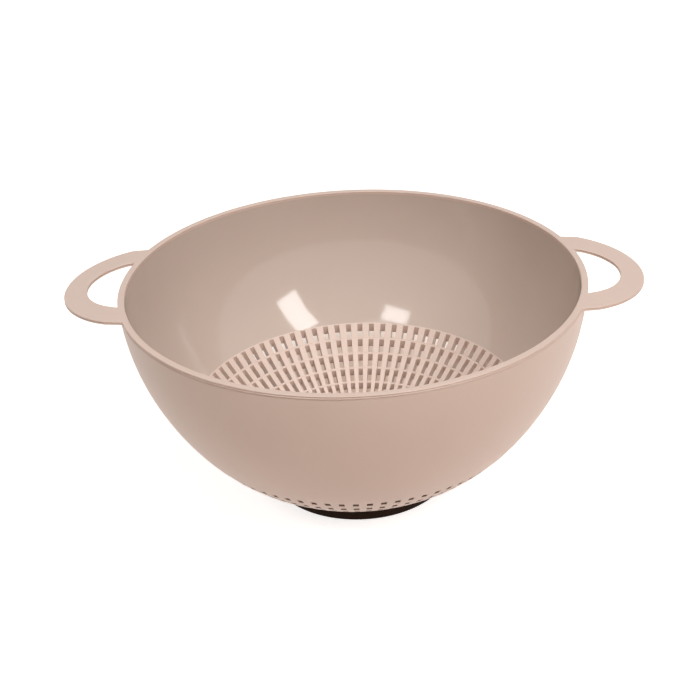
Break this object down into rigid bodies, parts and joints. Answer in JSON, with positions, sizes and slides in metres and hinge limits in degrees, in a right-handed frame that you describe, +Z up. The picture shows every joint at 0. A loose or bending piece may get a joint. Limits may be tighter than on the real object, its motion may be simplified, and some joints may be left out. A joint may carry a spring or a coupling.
{
  "type": "colander",
  "caption": "Round deep strainer bowl with a slotted lower wall and base, a flat rim ring carrying two loop handles, and a non-slip foot ring.",
  "frame": {"origin": "centre of the foot ring, on the surface that the colander stands on", "axes": "+Z up through the middle of the bowl, X through the two loop handles, Y across them"},
  "size_m": [0.304, 0.245, 0.12],
  "materials": {
    "bowl_plastic": "glossy inside, fine satin texture outside and on the slotted field",
    "rim_plastic": "satin",
    "foot_rubber": "matt"
  },
  "bodies": {
    "root": {"bowl": "bowl_plastic", "rim_ring": "rim_plastic", "foot_ring": "foot_rubber"}
  },
  "joints": []
}
